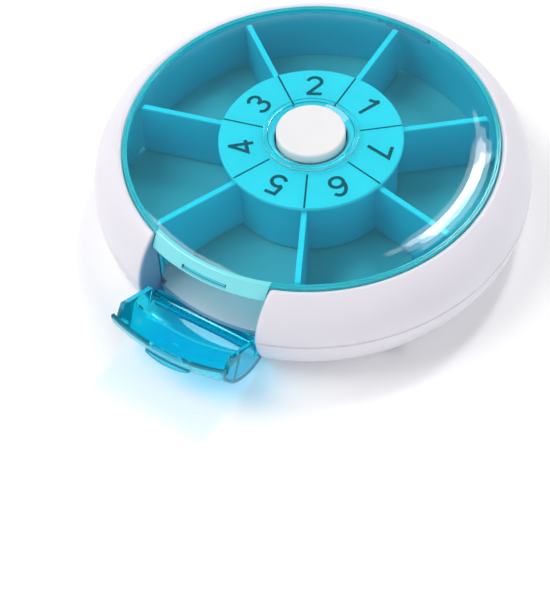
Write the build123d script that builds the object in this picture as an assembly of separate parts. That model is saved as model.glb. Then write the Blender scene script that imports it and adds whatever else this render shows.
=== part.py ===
from build123d import *
import math
import os

os.makedirs("parts", exist_ok=True)

# A round weekly pill box. A push button turns a wheel of seven compartments by one step,
# and a door in the rim lets out what the compartment behind it holds.
# Millimetres. The wheel turns about Z, the table is at height 0, and the door faces -Y.

# Housing, a hollow doughnut in two halves that meet at its waist
rim_radius = 49.0
rim_height = 26.0
ring_width = 8.5
waist_height = 13.2
base_inset = 9.2
shell_wall = 2.0
base_wall = 1.8
rim_lip_wall = 1.6
rim_lip_depth = 5.0
edge_round = 0.9
seam_chamfer = 0.3
seam_lip_wall = 1.0
seam_lip_rise = 1.6
seam_lip_root = 2.2

# Cut-out for the door, with a cheek on each side
cutout_width = 34.0
cheek_wall = 1.5
cheek_depth = 5.0
cheek_corner = 1.3
front_wall = 1.6
front_wall_gap = 0.8

# Fixed floor, its sill in the cut-out and its hollow centre post
floor_top = 8.0
floor_wall = 1.6
floor_edge_gap = 0.35
sill_reach = 1.3
sill_side_gap = 0.5
post_wall = 1.1
post_pocket_gap = 0.22
keyway_lift = 0.4
drum_groove = 0.6

# Fixed wall round the wheel
drum_wall = 1.1
drum_notch_width = 16.0
drum_notch_depth = 1.6

# Screws that close the housing
screw_angles = (45, 135, 215, 325)
screw_radius = 1.1
screw_bite = 8.0
screw_seat_wall = 2.0
screw_head_radius = 2.1
screw_head_height = 1.4
upper_boss_wall = 1.4
lower_boss_wall = 0.8
pilot_spare = 1.0

# Cover
cover_wall = 1.0
cover_rise = 2.3
button_gap = 0.4
collar_width = 3.2
collar_rise = 0.7
collar_crown_width = 1.2
collar_lip_drop = 0.9
apron_reach = 2.3
apron_depth = 3.6
apron_wall = 1.1
apron_side_gap = 0.3
latch_slot_width = 13.0
latch_slot_height = 1.0
latch_slot_depth = 0.5
latch_slot_lift = 0.5
cover_tab_depth = 1.3

# Wheel
compartment_count = 7
wheel_lead = 2.1
hub_radius = 22.5
hub_wall = 1.6
hub_plate_wall = 1.4
hub_tube_wall = 1.5
vane_end_gap = 1.2
vane_wall = 1.4
vane_cover_gap = 0.35
vane_corner = 1.0
disc_overhang = 1.5
disc_wall = 1.3
disc_cover_gap = 0.3
disc_button_gap = 1.2
disc_skirt_wall = 1.0
disc_skirt_depth = 2.2
disc_round = 0.4
line_groove_width = 0.5
line_groove_depth = 0.15
washer_outer_radius = 9.5
washer_wall = 0.4

# Ratchet between the drive sleeve and the wheel
teeth_per_step = 2
ratchet_tip_radius = 14.9
ratchet_depth = 1.3
ratchet_wall = 1.4
pawl_count = 2
pawl_ring_height = 1.6
pawl_ring_wall = 2.0
pawl_arm_gap = 2.5
pawl_arm_wall = 1.1
pawl_arm_sweep = 100.0
pawl_root_sweep = 12.0
pawl_tooth_gap = 0.6
pawl_tooth_sweep = 9.0
pawl_lead = 1.0

# Detent that holds the wheel at each compartment
detent_height = 2.2
detent_arm_drop = 1.45
detent_arm_wall = 0.9
detent_arm_sweep = 75.0
detent_nose_radius = 1.6
detent_nose_gap = 0.25
detent_notch_depth = 0.7
detent_foot_radius = 3.4
detent_foot_inset = 4.2
detent_screw_radius = 0.9
detent_screw_head_radius = 1.7
detent_screw_head_height = 0.5
detent_screw_length = 3.0

# Button, plunger and drive sleeve
button_travel = 3.5
button_radius = 9.0
button_rise = 0.95
button_wall = 1.5
button_skirt = 7.5
button_round = 1.5
button_boss_wall = 1.35
button_boss_depth = 4.3
plunger_key_side = 3.6
plunger_twist_side = 5.2
plunger_twist_spare = 0.9
plunger_head_step = 0.3
stop_washer_gap = 0.5
stop_washer_wall = 0.6
plunger_screw_radius = 0.95
plunger_screw_length = 5.0
plunger_screw_head_radius = 1.9
plunger_screw_head_height = 1.2
sleeve_wall = 1.2
sleeve_grip = 3.3
sleeve_flange_gap = 2.9
sleeve_flange_wall = 1.2

# Return spring under the cap
spring_wire = 0.7
spring_turns = 5
spring_side_gap = 0.65
spring_washer_wall = 0.4
spring_washer_gap = 0.52

# Door, drawn closed and then swung open
door_gap = 0.3
door_wall = 1.2
door_tip_reach = 2.0
door_open_angle = 62.5
door_pin_reach = 1.0
door_pin_radius = 0.9
door_pin_grip = 1.3
door_knuckle_radius = 2.0
door_knuckle_gap = 0.2
door_bottom_lift = 0.2
door_side_wall = 1.3
door_side_vane_gap = 1.3
door_side_floor_gap = 0.8
door_stop_lift = 8.2
door_stop_wall = 1.1
door_apron_gap = 0.4
door_lip_width = 13.0
door_lip_reach = 0.8
door_lip_height = 1.2
door_lip_drop = 2.2
door_catch_width = 10.0
door_catch_height = 0.7

# Clearances, and how far a cutting shape runs past what it cuts
seat_gap = 0.1
fit_gap = 0.05
running_gap = 0.08
screw_gap = 0.02
loose_gap = 0.3
hole_gap = 0.2
twist_gap = 0.12
overrun = 1.0

# Housing, worked out
waist_radius = rim_radius + ring_width
base_radius = waist_radius - base_inset
ring_rise = rim_height - waist_height
ring_arc = (ring_width**2 + ring_rise**2) / (2 * ring_width)
ring_centre = waist_radius - ring_arc
half_cutout = cutout_width / 2
half_mouth = half_cutout + cheek_wall
floor_bottom = floor_top - floor_wall
upper_boss_radius = screw_radius + upper_boss_wall
lower_boss_radius = screw_head_radius + loose_gap + lower_boss_wall
screw_circle = rim_radius + seat_gap + upper_boss_radius
screw_seat = floor_bottom - screw_seat_wall
drum_outer = rim_radius - seat_gap
drum_inner = drum_outer - drum_wall
drum_top = rim_height - cover_wall - seat_gap

# Cover, worked out
cover_radius = rim_radius - seat_gap
cover_sphere = (cover_radius**2 + cover_rise**2) / (2 * cover_rise)
cover_centre = rim_height + cover_rise - cover_sphere
button_hole_radius = button_radius + button_gap
collar_radius = button_hole_radius + collar_width
apron_radius = cover_radius + apron_reach
apron_bottom = rim_height - apron_depth

# Button and its drive, worked out from the floor up
half_diagonal = math.sqrt(0.5)
step_angle = 360 / compartment_count
twist_rate = -step_angle / button_travel
wheel_bottom = floor_top + washer_wall + seat_gap
detent_top = floor_top + seat_gap + detent_height
hub_plate_bottom = detent_top + detent_screw_head_height + hole_gap
hub_plate_top = hub_plate_bottom + hub_plate_wall
sleeve_bottom = hub_plate_top + hole_gap
flange_top = sleeve_bottom + sleeve_flange_wall
pawl_bottom = flange_top + seat_gap
pawl_top = pawl_bottom + pawl_ring_height
post_top = flange_top + pawl_ring_height
keyway_floor = floor_top + keyway_lift
keyway_top = post_top - button_travel - loose_gap
sleeve_bore_top = post_top + loose_gap
sleeve_top = sleeve_bore_top + sleeve_grip
twist_top = sleeve_top + button_travel + plunger_twist_spare
post_pocket_radius = plunger_twist_side * half_diagonal + post_pocket_gap
post_radius = post_pocket_radius + post_wall
post_bore = post_radius + running_gap
sleeve_radius = post_radius + sleeve_wall
spring_bottom = sleeve_top + spring_washer_wall
plunger_head_side = plunger_twist_side - 2 * plunger_head_step
button_boss_radius = plunger_head_side * half_diagonal + button_boss_wall
spring_radius = button_boss_radius + spring_side_gap + spring_wire / 2

# Wheel and ratchet, worked out
hub_inner = hub_radius - hub_wall
vane_reach = drum_inner - vane_end_gap
disc_radius = hub_radius + disc_overhang
ratchet_teeth = teeth_per_step * compartment_count
ratchet_root_radius = ratchet_tip_radius + ratchet_depth
ratchet_height = pawl_top + seat_gap - hub_plate_top
pawl_arm_radius = ratchet_tip_radius - pawl_arm_gap
pawl_tooth_reach = ratchet_root_radius - pawl_tooth_gap
detent_nose_reach = hub_inner + detent_notch_depth - detent_nose_gap
detent_nose_centre = detent_nose_reach - detent_nose_radius
detent_arm_radius = detent_nose_centre - detent_arm_drop

# Door, worked out
door_half = half_cutout - door_gap
door_pin_inset = rim_radius + door_pin_reach
door_pin_height = floor_bottom - door_knuckle_gap - door_knuckle_radius
door_bottom_height = door_pin_height - door_knuckle_radius + door_bottom_lift
door_tip_radius = rim_radius + door_tip_reach
door_side_inner = door_half - door_side_wall
door_side_reach = math.sqrt((vane_reach + door_side_vane_gap) ** 2 - door_side_inner**2)
door_side_bottom = floor_top + door_side_floor_gap
door_stop_height = floor_top + door_stop_lift
front_face = door_pin_inset - door_knuckle_radius - front_wall_gap


def disc(radius, bottom, top):
    middle = (bottom + top) / 2
    return Pos(0, 0, middle) * Cylinder(radius, top - bottom)


def ring(inner, outer, bottom, top):
    return disc(outer, bottom, top) - disc(inner, bottom, top)


def block(x_from, x_to, y_from, y_to, z_from, z_to):
    middle = ((x_from + x_to) / 2, (y_from + y_to) / 2, (z_from + z_to) / 2)
    return Pos(*middle) * Box(x_to - x_from, y_to - y_from, z_to - z_from)


def front_slab(half, bottom, top, back=0.0):
    # Everything at the front, from half to the left of the middle to half to its right.
    return block(-half, half, -waist_radius - door_lip_reach - overrun, back, bottom, top)


def square_bar(side, bottom, top):
    return block(-side / 2, side / 2, -side / 2, side / 2, bottom, top)


def along_x(radius, half_length):
    # A round bar on the door's hinge line.
    bar = Rot(0, 90, 0) * Cylinder(radius, 2 * half_length)
    return Pos(0, -door_pin_inset, door_pin_height) * bar


def turned(outline):
    # Turns a closed outline of (radius, height) about the wheel's axis.
    return revolve(Plane.XZ * make_face(outline), Axis.Z)


def turned_corners(*corners):
    return turned(Polyline(*corners, close=True).edges())


def polar(radius, angle):
    return (radius * math.cos(math.radians(angle)), radius * math.sin(math.radians(angle)))


def arc_band(inner, outer, start, sweep, bottom, top):
    # A strip between two radii that runs from start round by sweep degrees.
    outline = [
        CenterArc((0, 0), outer, start, sweep),
        Line(polar(outer, start + sweep), polar(inner, start + sweep)),
        CenterArc((0, 0), inner, start, sweep),
        Line(polar(inner, start), polar(outer, start)),
    ]
    return Pos(0, 0, bottom) * extrude(make_face(outline), top - bottom)


def arc_height(radius, inset):
    # Height of the upper ring's round surface, set in by inset, at this radius.
    return waist_height + math.sqrt((ring_arc - inset) ** 2 - (radius - ring_centre) ** 2)


def arc_radius(height, inset):
    # Radius of the same surface at this height.
    return ring_centre + math.sqrt((ring_arc - inset) ** 2 - (height - waist_height) ** 2)


def bowl_radius(height):
    # Radius of the lower shell's inner wall at this height.
    across = base_inset - shell_wall
    down = waist_height - base_wall
    return base_radius + across * math.sqrt(1 - ((waist_height - height) / down) ** 2)


def cover_height(radius, depth):
    # Height of the cover's domed surface, or of the surface depth below it.
    return cover_centre + math.sqrt((cover_sphere - depth) ** 2 - radius**2)


def apron_face(height):
    # Radius of the apron's sloping face at this height.
    return apron_radius - apron_reach * (height - apron_bottom) / apron_depth


def upper_body(inset, inner_radius):
    # Everything between inner_radius and the upper ring's round surface, set in by inset.
    outer = ring_arc - inset
    sweep = math.degrees(math.acos((inner_radius - ring_centre) / outer))
    top = arc_height(inner_radius, inset)
    return turned(
        [
            Line((inner_radius, waist_height), (ring_centre + outer, waist_height)),
            CenterArc((ring_centre, waist_height), outer, 0, sweep),
            Line((inner_radius, top), (inner_radius, waist_height)),
        ]
    )


def lower_body(inset, floor):
    # The bowl below the waist, with its side set in by inset and its bottom up by floor.
    across = base_inset - inset
    down = waist_height - floor
    return turned(
        [
            Line((0, floor), (base_radius, floor)),
            EllipticalCenterArc((base_radius, waist_height), across, down, -90, arc_size=90),
            Line((base_radius + across, waist_height), (0, waist_height)),
            Line((0, waist_height), (0, floor)),
        ]
    )


def at_screws(shape):
    return [Pos(*polar(screw_circle, angle)) * shape for angle in screw_angles]


def seam_bevel(direction):
    # Small bevel that leaves a fine line where the two halves meet.
    far = waist_radius + seam_chamfer
    near = waist_radius - seam_chamfer
    edge = waist_height + direction * 2 * seam_chamfer
    return turned_corners((near, waist_height), (far, waist_height), (far, edge))


def on_show(edge):
    # Curved edges on the rim or where a side of the cut-out meets the round outside.
    beside = abs(abs(edge.center().X) - half_cutout) < screw_gap
    above = abs(edge.center().Z - rim_height) < screw_gap
    return edge.geom_type != GeomType.LINE and (beside or above)


def inner_corner(edge):
    # The upright edge where a side of the cut-out meets the round hole for the wheel.
    centre = edge.center()
    beside = abs(abs(centre.X) - half_cutout) < screw_gap
    return beside and abs(math.hypot(centre.X, centre.Y) - rim_radius) < screw_gap


def cheeks(body, bevel, bottom, top):
    # The two plates beside the door, cut from the housing's form and rounded where they show.
    plates = []
    back = cheek_depth - rim_radius
    for near, far in ((half_cutout, half_mouth), (-half_mouth, -half_cutout)):
        plate = body & block(near, far, -waist_radius, back, bottom, top)
        plate = fillet([edge for edge in plate.edges() if inner_corner(edge)], cheek_corner)
        rounded = fillet([edge for edge in plate.edges() if on_show(edge)], edge_round)
        plates.append(rounded - bevel)
    return plates


def upper_ring():
    body = upper_body(0, rim_radius)
    bevel = seam_bevel(1)
    shell = fillet(body.edges().group_by(Axis.Z)[-1], edge_round) - bevel
    behind_lip = rim_radius + rim_lip_wall
    shell -= upper_body(shell_wall, behind_lip)
    shell -= ring(rim_radius, behind_lip, waist_height, rim_height - rim_lip_depth)
    shell -= front_slab(half_mouth, 0, rim_height + overrun)
    shell += cheeks(body, bevel, waist_height, rim_height)
    boss_room = upper_body(shell_wall / 2, rim_radius) + disc(waist_radius, floor_top, waist_height)
    bosses = at_screws(disc(upper_boss_radius, floor_top, rim_height))
    shell += [boss & boss_room for boss in bosses]
    pilot_top = floor_top + screw_bite + pilot_spare
    return shell - at_screws(disc(screw_radius + screw_gap, floor_top, pilot_top))


def seam_lip(boss_room):
    # A thin lip on the lower half that lies just inside the upper half's wall.
    outer = waist_radius - shell_wall - seat_gap
    inner = outer - seam_lip_wall
    root = waist_height - seam_lip_root
    room = upper_body(shell_wall + seat_gap, rim_radius) + disc(waist_radius, 0, waist_height)
    lip = ring(inner, outer, root, waist_height + seam_lip_rise) & room
    return lip + (ring(inner, outer + hole_gap, root, waist_height) & boss_room)


def lower_shell():
    body = lower_body(0, 0)
    bevel = seam_bevel(-1)
    shell = body - bevel - lower_body(shell_wall, base_wall)
    boss_room = lower_body(shell_wall / 2, base_wall / 2)
    bosses = at_screws(disc(lower_boss_radius, 0, floor_bottom))
    shell += [boss & boss_room for boss in bosses]
    hole = disc(screw_head_radius + loose_gap, -overrun, screw_seat)
    hole += disc(screw_radius + hole_gap, 0, floor_bottom + overrun)
    shell -= at_screws(hole)
    shell += seam_lip(boss_room)
    shell -= front_slab(half_mouth, -overrun, rim_height, -front_face)
    shell -= front_slab(half_mouth, waist_height, rim_height)
    wall_back = front_wall - front_face
    shell += block(-half_mouth, half_mouth, -front_face, wall_back, 0, floor_bottom)
    hollow = body - disc(rim_radius, -overrun, rim_height)
    shell += cheeks(hollow, bevel, 0, waist_height)
    return shell - along_x(door_pin_radius + screw_gap, half_mouth + overrun)


def housing_screws():
    shank = disc(screw_radius, screw_seat, floor_top + screw_bite)
    head_bottom = screw_seat - screw_head_height
    head = disc(screw_head_radius, head_bottom, screw_seat)
    head = fillet(head.edges().group_by(Axis.Z)[0], screw_head_height / 3)
    reach = screw_head_radius * 0.6
    bite = screw_head_height / 4
    slot = block(-reach, reach, -bite, bite, head_bottom, head_bottom + screw_head_height / 2)
    slot += Rot(0, 0, 90) * slot
    return Compound(children=at_screws(shank + head - slot))


def centre_post():
    post = disc(post_radius, floor_bottom, post_top)
    post -= disc(post_pocket_radius, keyway_top, post_top)
    post -= disc(post_pocket_radius, floor_bottom, keyway_floor)
    return post - square_bar(plunger_key_side + 2 * fit_gap, floor_bottom, post_top)


def floor_plate():
    # The fixed floor. At the front it stops inside the housing, apart from the sill.
    room = half_mouth + loose_gap
    plate = disc(bowl_radius(floor_bottom) - floor_edge_gap, floor_bottom, floor_top)
    plate -= front_slab(room, floor_bottom, floor_top) - disc(drum_outer, floor_bottom, floor_top)
    plate -= front_slab(half_cutout, floor_bottom, floor_top, -front_face)
    sill = disc(rim_radius + sill_reach, floor_bottom, floor_top)
    sill_half = door_side_inner - sill_side_gap
    plate += sill & front_slab(sill_half, floor_bottom, floor_top, overrun - front_face)
    groove_bottom = floor_top - drum_groove
    groove = ring(drum_inner - fit_gap, drum_outer + fit_gap, groove_bottom, floor_top)
    plate -= groove - front_slab(half_cutout, 0, rim_height)
    plate -= disc(post_radius, floor_bottom, floor_top)
    plate += centre_post()
    plate -= at_screws(disc(screw_radius + hole_gap, floor_bottom, floor_top))
    pilot = disc(detent_screw_radius + screw_gap, floor_bottom, floor_top)
    return plate - Pos(*detent_foot_place()) * pilot


def drum_wall_ring():
    wall = ring(drum_inner, drum_outer, floor_top - drum_groove, drum_top)
    wall -= front_slab(half_cutout, 0, rim_height)
    notch = drum_notch_width / 2
    return wall - block(-notch, notch, 0, waist_radius, drum_top - drum_notch_depth, rim_height)


def angle_across(radius, sphere):
    # How far round a sphere's section, from its top, the section reaches this radius.
    return math.degrees(math.asin(radius / sphere))


def cover_dome():
    # The domed window, with a collar that slopes down to the button's hole.
    inner = cover_sphere - cover_wall
    centre = (0, cover_centre)
    edge = angle_across(cover_radius, cover_sphere)
    foot = angle_across(collar_radius, cover_sphere)
    under_edge = angle_across(cover_radius, inner)
    under_hole = angle_across(button_hole_radius, inner)
    collar_foot = (collar_radius, cover_height(collar_radius, 0))
    crown = (collar_radius - collar_crown_width, collar_foot[1] + collar_rise)
    lip = (button_hole_radius, crown[1] - collar_lip_drop)
    return turned(
        [
            CenterArc(centre, cover_sphere, 90 - edge, edge - foot),
            TangentArc(collar_foot, crown, tangent=(-0.5, 1)),
            Line(crown, lip),
            Line(lip, (button_hole_radius, cover_height(button_hole_radius, cover_wall))),
            CenterArc(centre, inner, 90 - under_edge, under_edge - under_hole),
            Line((cover_radius, cover_height(cover_radius, cover_wall)), (cover_radius, rim_height)),
        ]
    )


def cover_apron():
    # The sloping front of the cover, over the door, with a slot for the door's catch.
    low, high = apron_bottom, rim_height - seat_gap
    apron = turned_corners(
        (apron_face(high), high),
        (apron_face(low), low),
        (apron_face(low) - apron_wall, low),
        (apron_face(high) - apron_wall, rim_height - cover_wall),
    )
    apron &= front_slab(half_cutout - apron_side_gap, low, rim_height)
    slot_bottom = low + latch_slot_lift
    slot_top = slot_bottom + latch_slot_height
    slot = ring(apron_face(slot_top) - latch_slot_depth, waist_radius, slot_bottom, slot_top)
    return apron - (slot & front_slab(latch_slot_width / 2, low, rim_height))


def cover_tab():
    # A tab at the rear that stands in the notch of the fixed wall.
    half = drum_notch_width / 2 - hole_gap
    bottom = rim_height - cover_wall - cover_tab_depth
    tab = ring(drum_inner + seat_gap, drum_outer - seat_gap, bottom, rim_height - seat_gap)
    return tab & block(-half, half, 0, waist_radius, bottom, rim_height)


def top_cover():
    return cover_dome() + cover_apron() + cover_tab()


def vane():
    top = cover_height(vane_reach, cover_wall) - vane_cover_gap
    plate = block(hub_radius - hub_wall / 2, vane_reach, -vane_wall / 2, vane_wall / 2, wheel_bottom, top)
    far = plate.edges().filter_by(Axis.Y).group_by(Axis.X)[-1]
    return fillet(far.group_by(Axis.Z)[-1], vane_corner)


def ratchet_ring():
    # A ring of pockets: each opens at once and closes again along a slope.
    pitch = 360 / ratchet_teeth
    points = []
    for tooth in range(ratchet_teeth):
        points.append(polar(ratchet_tip_radius, tooth * pitch))
        points.append(polar(ratchet_root_radius, tooth * pitch))
    inside = extrude(make_face(Polyline(*points, close=True).edges()), ratchet_height)
    top = hub_plate_top + ratchet_height
    teeth = disc(ratchet_root_radius + ratchet_wall, hub_plate_top, top)
    return teeth - Pos(0, 0, hub_plate_top) * inside


def disc_top():
    return cover_height(disc_radius, cover_wall) - disc_cover_gap


def compartment_wheel():
    wheel = ring(hub_inner, hub_radius, wheel_bottom, disc_top() - disc_wall)
    wheel += ring(post_bore, hub_radius - hub_wall / 2, hub_plate_bottom, hub_plate_top)
    wheel += ring(post_bore, post_bore + hub_tube_wall, wheel_bottom, hub_plate_top)
    wheel += Rot(0, 0, step_angle / 2 - 90) * ratchet_ring()
    notch_centre = hub_inner + detent_notch_depth - detent_nose_radius
    notch = disc(detent_nose_radius + fit_gap, wheel_bottom, hub_plate_bottom - seat_gap)
    for step in range(compartment_count):
        turn = Rot(0, 0, step_angle * (step + 0.5) - 90)
        wheel += turn * vane()
        wheel -= turn * Pos(notch_centre, 0, 0) * notch
    return Rot(0, 0, wheel_lead) * wheel


def number_disc():
    bottom = disc_top() - disc_wall
    plate = ring(button_radius + disc_button_gap, disc_radius, bottom, disc_top())
    rims = plate.edges().filter_by(GeomType.CIRCLE).group_by(SortBy.RADIUS)[-1]
    plate = fillet(rims, disc_round)
    skirt = hub_inner - fit_gap
    plate += ring(skirt - disc_skirt_wall, skirt, bottom - disc_skirt_depth, bottom)
    half = line_groove_width / 2
    groove = block(collar_radius, disc_radius, -half, half, disc_top() - line_groove_depth, disc_top())
    for step in range(compartment_count):
        plate -= Rot(0, 0, step_angle * (step + 0.5) - 90) * groove
    return Rot(0, 0, wheel_lead) * plate


def wheel_washer():
    return ring(post_bore, washer_outer_radius, floor_top, floor_top + washer_wall)


def pawl_arm(pocket):
    # A bent arm that trails from a tooth in the pocket back to its root on the ring.
    start = pocket + pawl_lead
    inner = pawl_arm_radius - pawl_arm_wall
    tooth = Polyline(
        polar(inner, start),
        polar(pawl_tooth_reach, start),
        polar(pawl_tooth_reach - fit_gap, start + pawl_tooth_sweep / 4),
        polar(inner, start + pawl_tooth_sweep),
        close=True,
    )
    arm = Pos(0, 0, pawl_bottom) * extrude(make_face(tooth.edges()), pawl_ring_height)
    arm += arc_band(inner, pawl_arm_radius, start, pawl_arm_sweep, pawl_bottom, pawl_top)
    root = start + pawl_arm_sweep - pawl_root_sweep
    root_inner = sleeve_radius + 2 * fit_gap
    return arm + arc_band(root_inner, pawl_arm_radius, root, pawl_root_sweep, pawl_bottom, pawl_top)


def pawl_ring():
    inner = sleeve_radius + fit_gap
    body = ring(inner, inner + pawl_ring_wall, pawl_bottom, pawl_top)
    arm = pawl_arm(step_angle / 2 - 90 + wheel_lead)
    for pawl in range(pawl_count):
        body += Rot(0, 0, pawl * 360 / pawl_count) * arm
    return body


def detent_angle():
    return step_angle * (compartment_count // 2 + 0.5) - 90 + wheel_lead


def detent_foot_place():
    return polar(detent_arm_radius - detent_foot_inset, detent_angle() - detent_arm_sweep)


def detent_spring():
    # A bent arm with a round nose, held by a screw through its foot.
    bottom, top = floor_top + seat_gap, detent_top
    nose_at = detent_angle()
    start = nose_at - detent_arm_sweep
    inner = detent_arm_radius - detent_arm_wall
    half = detent_nose_radius / 2
    spring = arc_band(inner, detent_arm_radius, start, detent_arm_sweep, bottom, top)
    spring += Pos(*polar(detent_nose_centre, nose_at)) * disc(detent_nose_radius, bottom, top)
    spring += Rot(0, 0, nose_at) * block(inner, detent_nose_centre, -half, half, bottom, top)
    foot = Pos(*detent_foot_place())
    spring += foot * disc(detent_foot_radius, bottom, top)
    foot_from = detent_arm_radius - detent_foot_inset
    bridge = block(foot_from, inner + fit_gap, 0, detent_foot_radius / 2, bottom, top)
    spring += Rot(0, 0, start) * bridge
    return spring - foot * disc(detent_screw_radius + screw_gap, bottom, top)


def detent_screw():
    head = disc(detent_screw_head_radius, detent_top, detent_top + detent_screw_head_height)
    shank = disc(detent_screw_radius, detent_top - detent_screw_length, detent_top)
    return Pos(*detent_foot_place()) * (head + shank)


def twisted_bar(side, top):
    # A square bar from the post's top upwards that turns at the drive's rate.
    length = top - post_top
    section = Pos(0, 0, post_top) * Rectangle(side, side)
    wire = section.faces()[0].outer_wire()
    start = (0, 0, post_top)
    return Solid.extrude_linear_with_rotation(wire, start, (0, 0, length), twist_rate * length)


def button_ceiling():
    crown = cover_height(collar_radius, 0) + collar_rise
    return crown + button_rise - button_wall


def plunger():
    head_top = button_ceiling() - loose_gap
    body = square_bar(plunger_key_side, keyway_floor, post_top)
    body += twisted_bar(plunger_twist_side, twist_top)
    body += square_bar(plunger_head_side, twist_top, head_top)
    pilot_top = keyway_floor + plunger_screw_length + pilot_spare
    return body - disc(plunger_screw_radius + screw_gap, keyway_floor, pilot_top)


def stop_washer():
    top = keyway_floor - seat_gap
    outer = post_pocket_radius - stop_washer_gap
    return ring(plunger_screw_radius + seat_gap, outer, top - stop_washer_wall, top)


def plunger_screw():
    seat = keyway_floor - seat_gap - stop_washer_wall
    head = disc(plunger_screw_head_radius, seat - plunger_screw_head_height, seat)
    return head + disc(plunger_screw_radius, seat, seat + plunger_screw_length)


def button_cap():
    ceiling = button_ceiling()
    top = ceiling + button_wall
    cap = disc(button_radius, top - button_skirt, top)
    cap = fillet(cap.edges().group_by(Axis.Z)[-1], button_round)
    cap -= disc(button_radius - button_wall, top - button_skirt, ceiling)
    boss_bottom = ceiling - button_boss_depth
    cap += disc(button_boss_radius, boss_bottom, ceiling)
    socket_top = ceiling - loose_gap + seat_gap
    return cap - square_bar(plunger_head_side + 2 * fit_gap, boss_bottom, socket_top)


def drive_sleeve():
    sleeve = disc(sleeve_radius, sleeve_bottom, sleeve_top)
    sleeve += disc(ratchet_tip_radius - sleeve_flange_gap, sleeve_bottom, flange_top)
    sleeve -= disc(post_bore, sleeve_bottom, sleeve_bore_top)
    return sleeve - twisted_bar(plunger_twist_side + 2 * twist_gap, sleeve_top + seat_gap)


def spring_washer():
    hole = plunger_twist_side * half_diagonal + spring_washer_gap
    return ring(hole, sleeve_radius, sleeve_top, spring_bottom)


def spring_point(turn, pitch, start):
    angle = 2 * math.pi * turn
    return Vector(spring_radius * math.cos(angle), spring_radius * math.sin(angle), start + pitch * turn)


def spring_heading(turn, pitch):
    angle = 2 * math.pi * turn
    round_turn = 2 * math.pi * spring_radius
    return Vector(-round_turn * math.sin(angle), round_turn * math.cos(angle), pitch).normalized()


def tangent_pair(first, second, heading, next_heading):
    # Two arcs that leave first along heading and reach second along next_heading.
    chord = second - first
    a = 2 * (heading.dot(next_heading) - 1)
    b = -2 * chord.dot(heading + next_heading)
    c = chord.dot(chord)
    reach = (-b - math.sqrt(b * b - 4 * a * c)) / (2 * a)
    middle = (first + heading * reach + second - next_heading * reach) * 0.5
    middle_heading = (second - next_heading * reach - first - heading * reach).normalized()
    return [
        TangentArc(first, middle, tangent=heading),
        TangentArc(middle, second, tangent=middle_heading),
    ]


def least_gap(path):
    # The nearest that the wire comes to a stretch of itself at least half a turn away.
    steps = 24 * spring_turns
    apart = 12
    points = [path @ (step / steps) for step in range(steps + 1)]
    pairs = ((a, b) for a in range(steps + 1) for b in range(a + apart, steps + 1))
    return min((points[a] - points[b]).length for a, b in pairs) - spring_wire


def return_spring():
    start = spring_bottom + spring_wire / 2 + seat_gap
    pitch = (button_ceiling() - seat_gap - spring_wire / 2 - start) / spring_turns
    arcs = []
    for quarter in range(4 * spring_turns):
        here, there = quarter / 4, (quarter + 1) / 4
        arcs += tangent_pair(
            spring_point(here, pitch, start),
            spring_point(there, pitch, start),
            spring_heading(here, pitch),
            spring_heading(there, pitch),
        )
    path = Wire([arc.edge() for arc in arcs])
    print("return spring: least gap to itself", round(least_gap(path), 3))
    section = Plane(origin=path @ 0, z_dir=path % 0) * Circle(spring_wire / 2)
    return sweep(section, path=path)


def door_body(inset):
    # Everything inside the closed door's outer surface, set in by inset.
    outer = ring_arc - inset
    tip_radius = door_tip_radius - inset / 2
    tip_height = arc_height(tip_radius, inset)
    sweep_up = math.degrees(math.acos((tip_radius - ring_centre) / outer))
    across = waist_radius - door_pin_inset - inset
    low = door_bottom_height + inset
    down = waist_height - low
    return turned(
        [
            CenterArc((ring_centre, waist_height), outer, 0, sweep_up),
            Line((tip_radius, tip_height), (0, tip_height)),
            Line((0, tip_height), (0, low)),
            Line((0, low), (door_pin_inset, low)),
            EllipticalCenterArc((door_pin_inset, waist_height), across, down, -90, arc_size=90),
        ]
    )


def beyond_hinge(shape):
    # Leaves out what would reach inwards past the hinge line, below the sill.
    return shape - block(-half_cutout, half_cutout, -door_pin_inset, 0, 0, door_side_bottom)


def door_skin():
    # The curved outer wall, from the tip down to the knuckle.
    inner_tip = disc(door_tip_radius - door_wall / 2, waist_height, rim_height)
    skin = door_body(0) - door_body(door_wall) - inner_tip
    return beyond_hinge(skin & front_slab(door_half, 0, rim_height))


def door_sides():
    # The side walls, kept within a circle about the hinge line that passes under the apron.
    tray = front_slab(door_half, 0, rim_height, -door_side_reach)
    tray -= front_slab(door_side_inner, 0, rim_height)
    apron_edge = math.sqrt(apron_radius**2 - door_half**2)
    to_apron = math.hypot(apron_bottom - door_pin_height, door_pin_inset - apron_edge)
    return beyond_hinge(tray & door_body(0)) & along_x(to_apron - door_apron_gap, door_half)


def door_stop():
    # The cross wall that keeps the pills in the door.
    top = door_stop_height + door_stop_wall
    stop = ring(drum_outer, waist_radius, door_stop_height, top)
    return stop & front_slab(door_half - fit_gap, 0, rim_height) & door_body(0)


def thumb_lip():
    # A crescent ledge on the outside, just below the tip.
    top = arc_height(door_tip_radius, 0) - door_lip_drop
    bottom = top - door_lip_height
    outside = arc_radius(bottom, 0)
    half = door_lip_width / 2
    depth = outside - math.sqrt(outside**2 - half**2) + door_lip_reach
    crescent = (half**2 + depth**2) / (2 * depth)
    lip = Pos(0, crescent - outside - door_lip_reach, 0) * disc(crescent, bottom, top)
    lip &= front_slab(half, 0, rim_height, -rim_radius)
    return lip - door_body(door_wall / 2)


def catch():
    # A low nib inside the tip that meets the slot in the cover's apron.
    middle = apron_bottom + latch_slot_lift + latch_slot_height / 2
    bottom, top = middle - door_catch_height / 2, middle + door_catch_height / 2
    nib = ring(apron_face(bottom) + hole_gap, waist_radius, bottom, top)
    return nib & door_body(door_wall / 2) & front_slab(door_catch_width / 2, 0, rim_height)


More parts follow.
